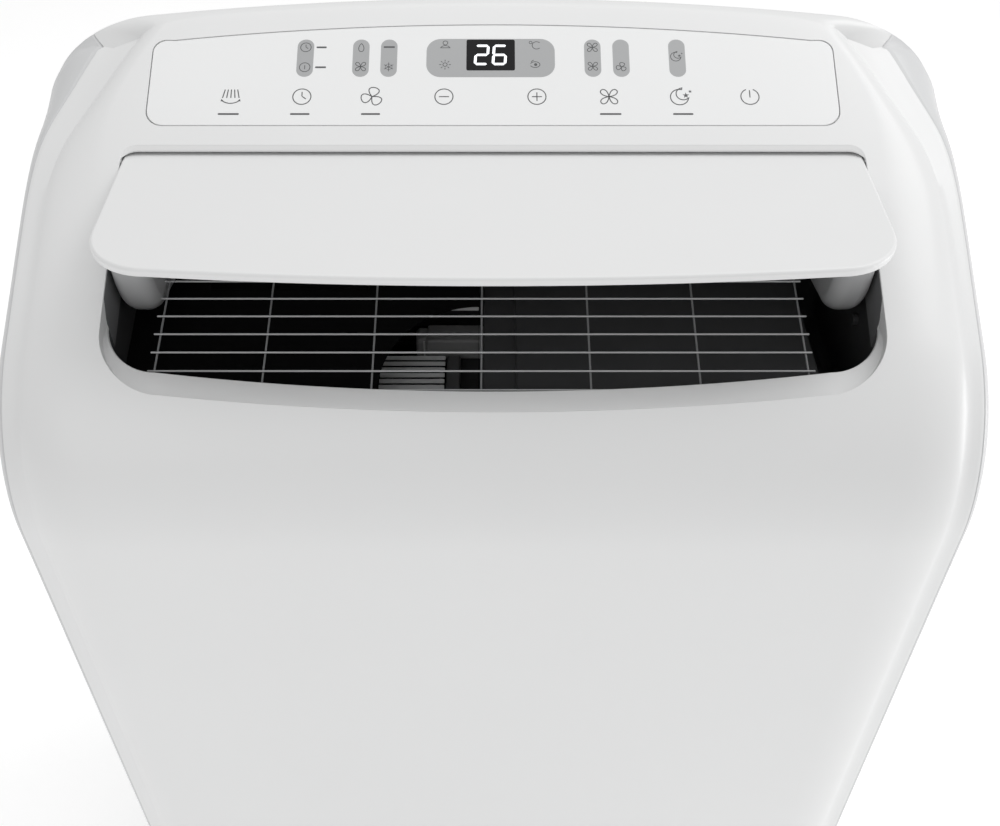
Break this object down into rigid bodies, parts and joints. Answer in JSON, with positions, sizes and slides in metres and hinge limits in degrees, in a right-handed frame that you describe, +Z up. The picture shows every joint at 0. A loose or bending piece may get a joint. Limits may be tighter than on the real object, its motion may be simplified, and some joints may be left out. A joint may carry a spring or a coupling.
{
  "type": "portable air conditioner",
  "caption": "Roll-about portable air conditioner: sloped top with control panel and motorised outlet flap, rear filter cassettes, hose collar, condensate drains and swivel casters.",
  "frame": {"origin": "on the floor under the middle of the bounding box", "axes": "+X to the user's right, +Y to the back, +Z up; the control panel and the outlet face -Y and up"},
  "size_m": [0.48, 0.3913, 0.7615],
  "materials": {
    "white_plastic": "satin white moulding",
    "grey_plastic": "light grey fine-grain moulding",
    "dark_plastic": "dark grey moulding",
    "black_plastic": "black moulding",
    "nylon": "grey nylon",
    "circuit_board": "green solder mask",
    "rubber": "black rubber",
    "steel": "zinc-plated steel",
    "axle_steel": "bright steel pin",
    "aluminium": "mill-finish aluminium",
    "copper": "bright copper tube",
    "black_enamel": "black enamel"
  },
  "bodies": {
    "cabinet": {"front_cover": "white_plastic", "side_panel_left": "grey_plastic", "side_panel_right": "grey_plastic", "rear_cover": "grey_plastic", "base_tray": "dark_plastic", "control_overlay": "white_plastic", "control_board": "circuit_board", "display_module": "black_plastic", "outlet_duct": "dark_plastic", "outlet_grille": "grey_plastic", "flap_motor": "steel", "blower_housing": "black_plastic", "blower_motor": "steel", "evaporator_coil": "aluminium", "mid_tray": "nylon", "condenser_fan_housing": "black_plastic", "condenser_motor": "steel", "exhaust_duct": "dark_plastic", "exhaust_collar": "dark_plastic", "condenser_coil": "aluminium", "compressor": "black_enamel", "accumulator": "black_enamel", "suction_pipe": "copper", "discharge_pipe": "copper", "capillary_tube": "copper", "splash_motor": "steel", "electrical_box": "dark_plastic", "run_capacitor": "aluminium", "cord_gland": "rubber"},
    "flap": {"flap": "white_plastic", "flap_arm_left": "grey_plastic", "flap_arm_right": "grey_plastic"},
    "blower_wheel": {"blower_wheel": "black_plastic"},
    "condenser_wheel": {"condenser_wheel": "black_plastic"},
    "splash_wheel": {"splash_wheel": "nylon"},
    "filter_upper": {"filter_upper": "grey_plastic"},
    "filter_lower": {"filter_lower": "grey_plastic"},
    "drain_plug_upper": {"drain_plug_upper": "rubber"},
    "drain_plug_lower": {"drain_plug_lower": "rubber"},
    "key_swing": {"key_swing": "grey_plastic"},
    "key_timer": {"key_timer": "grey_plastic"},
    "key_mode": {"key_mode": "grey_plastic"},
    "key_minus": {"key_minus": "grey_plastic"},
    "key_plus": {"key_plus": "grey_plastic"},
    "key_speed": {"key_speed": "grey_plastic"},
    "key_sleep": {"key_sleep": "grey_plastic"},
    "key_power": {"key_power": "grey_plastic"},
    "caster_front_left": {"caster_fork_front_left": "black_plastic", "caster_axle_front_left": "axle_steel"},
    "caster_wheel_front_left": {"caster_wheel_front_left": "rubber"},
    "caster_rear_left": {"caster_fork_rear_left": "black_plastic", "caster_axle_rear_left": "axle_steel"},
    "caster_wheel_rear_left": {"caster_wheel_rear_left": "rubber"},
    "caster_front_right": {"caster_fork_front_right": "black_plastic", "caster_axle_front_right": "axle_steel"},
    "caster_wheel_front_right": {"caster_wheel_front_right": "rubber"},
    "caster_rear_right": {"caster_fork_rear_right": "black_plastic", "caster_axle_rear_right": "axle_steel"},
    "caster_wheel_rear_right": {"caster_wheel_rear_right": "rubber"}
  },
  "joints": [
    {"name": "flap_tilt", "type": "hinge", "parent": "cabinet", "child": "flap", "pos_m": [0, -0.04415, 0.65291], "axis": [1, 0, 0], "range_deg": [0, 27.6]},
    {"name": "blower_spin", "type": "hinge", "parent": "cabinet", "child": "blower_wheel", "pos_m": [-0.085, 0.01, 0.52], "axis": [1, 0, 0], "continuous": true},
    {"name": "condenser_spin", "type": "hinge", "parent": "cabinet", "child": "condenser_wheel", "pos_m": [-0.08, -0.08, 0.235], "axis": [0, 1, 0], "continuous": true},
    {"name": "splash_spin", "type": "hinge", "parent": "cabinet", "child": "splash_wheel", "pos_m": [-0.15, 0.088, 0.097], "axis": [1, 0, 0], "continuous": true},
    {"name": "filter_upper_pull", "type": "slide", "parent": "cabinet", "child": "filter_upper", "axis": [0, 1, 0], "range_m": [0, 0.05]},
    {"name": "filter_lower_pull", "type": "slide", "parent": "cabinet", "child": "filter_lower", "axis": [0, 1, 0], "range_m": [0, 0.05]},
    {"name": "drain_plug_upper_pull", "type": "slide", "parent": "cabinet", "child": "drain_plug_upper", "axis": [0, 1, 0], "range_m": [0, 0.03]},
    {"name": "drain_plug_lower_pull", "type": "slide", "parent": "cabinet", "child": "drain_plug_lower", "axis": [0, 1, 0], "range_m": [0, 0.03]},
    {"name": "key_swing_press", "type": "slide", "parent": "cabinet", "child": "key_swing", "axis": [0, 0.5015, -0.8652], "range_m": [0, 0.0003], "stiffness_N_per_m": 6000},
    {"name": "key_timer_press", "type": "slide", "parent": "cabinet", "child": "key_timer", "axis": [0, 0.5015, -0.8652], "range_m": [0, 0.0003], "stiffness_N_per_m": 6000},
    {"name": "key_mode_press", "type": "slide", "parent": "cabinet", "child": "key_mode", "axis": [0, 0.5015, -0.8652], "range_m": [0, 0.0003], "stiffness_N_per_m": 6000},
    {"name": "key_minus_press", "type": "slide", "parent": "cabinet", "child": "key_minus", "axis": [0, 0.5015, -0.8652], "range_m": [0, 0.0003], "stiffness_N_per_m": 6000},
    {"name": "key_plus_press", "type": "slide", "parent": "cabinet", "child": "key_plus", "axis": [0, 0.5015, -0.8652], "range_m": [0, 0.0003], "stiffness_N_per_m": 6000},
    {"name": "key_speed_press", "type": "slide", "parent": "cabinet", "child": "key_speed", "axis": [0, 0.5015, -0.8652], "range_m": [0, 0.0003], "stiffness_N_per_m": 6000},
    {"name": "key_sleep_press", "type": "slide", "parent": "cabinet", "child": "key_sleep", "axis": [0, 0.5015, -0.8652], "range_m": [0, 0.0003], "stiffness_N_per_m": 6000},
    {"name": "key_power_press", "type": "slide", "parent": "cabinet", "child": "key_power", "axis": [0, 0.5015, -0.8652], "range_m": [0, 0.0003], "stiffness_N_per_m": 6000},
    {"name": "caster_front_left_swivel", "type": "hinge", "parent": "cabinet", "child": "caster_front_left", "pos_m": [-0.185, -0.108, 0.045], "axis": [0, 0, 1], "continuous": true},
    {"name": "caster_front_left_roll", "type": "hinge", "parent": "caster_front_left", "child": "caster_wheel_front_left", "pos_m": [-0.185, -0.094, 0.02], "axis": [1, 0, 0], "continuous": true},
    {"name": "caster_rear_left_swivel", "type": "hinge", "parent": "cabinet", "child": "caster_rear_left", "pos_m": [-0.185, 0.138, 0.045], "axis": [0, 0, 1], "continuous": true},
    {"name": "caster_rear_left_roll", "type": "hinge", "parent": "caster_rear_left", "child": "caster_wheel_rear_left", "pos_m": [-0.185, 0.152, 0.02], "axis": [1, 0, 0], "continuous": true},
    {"name": "caster_front_right_swivel", "type": "hinge", "parent": "cabinet", "child": "caster_front_right", "pos_m": [0.185, -0.108, 0.045], "axis": [0, 0, 1], "continuous": true},
    {"name": "caster_front_right_roll", "type": "hinge", "parent": "caster_front_right", "child": "caster_wheel_front_right", "pos_m": [0.185, -0.094, 0.02], "axis": [1, 0, 0], "continuous": true},
    {"name": "caster_rear_right_swivel", "type": "hinge", "parent": "cabinet", "child": "caster_rear_right", "pos_m": [0.185, 0.138, 0.045], "axis": [0, 0, 1], "continuous": true},
    {"name": "caster_rear_right_roll", "type": "hinge", "parent": "caster_rear_right", "child": "caster_wheel_rear_right", "pos_m": [0.185, 0.152, 0.02], "axis": [1, 0, 0], "continuous": true}
  ]
}
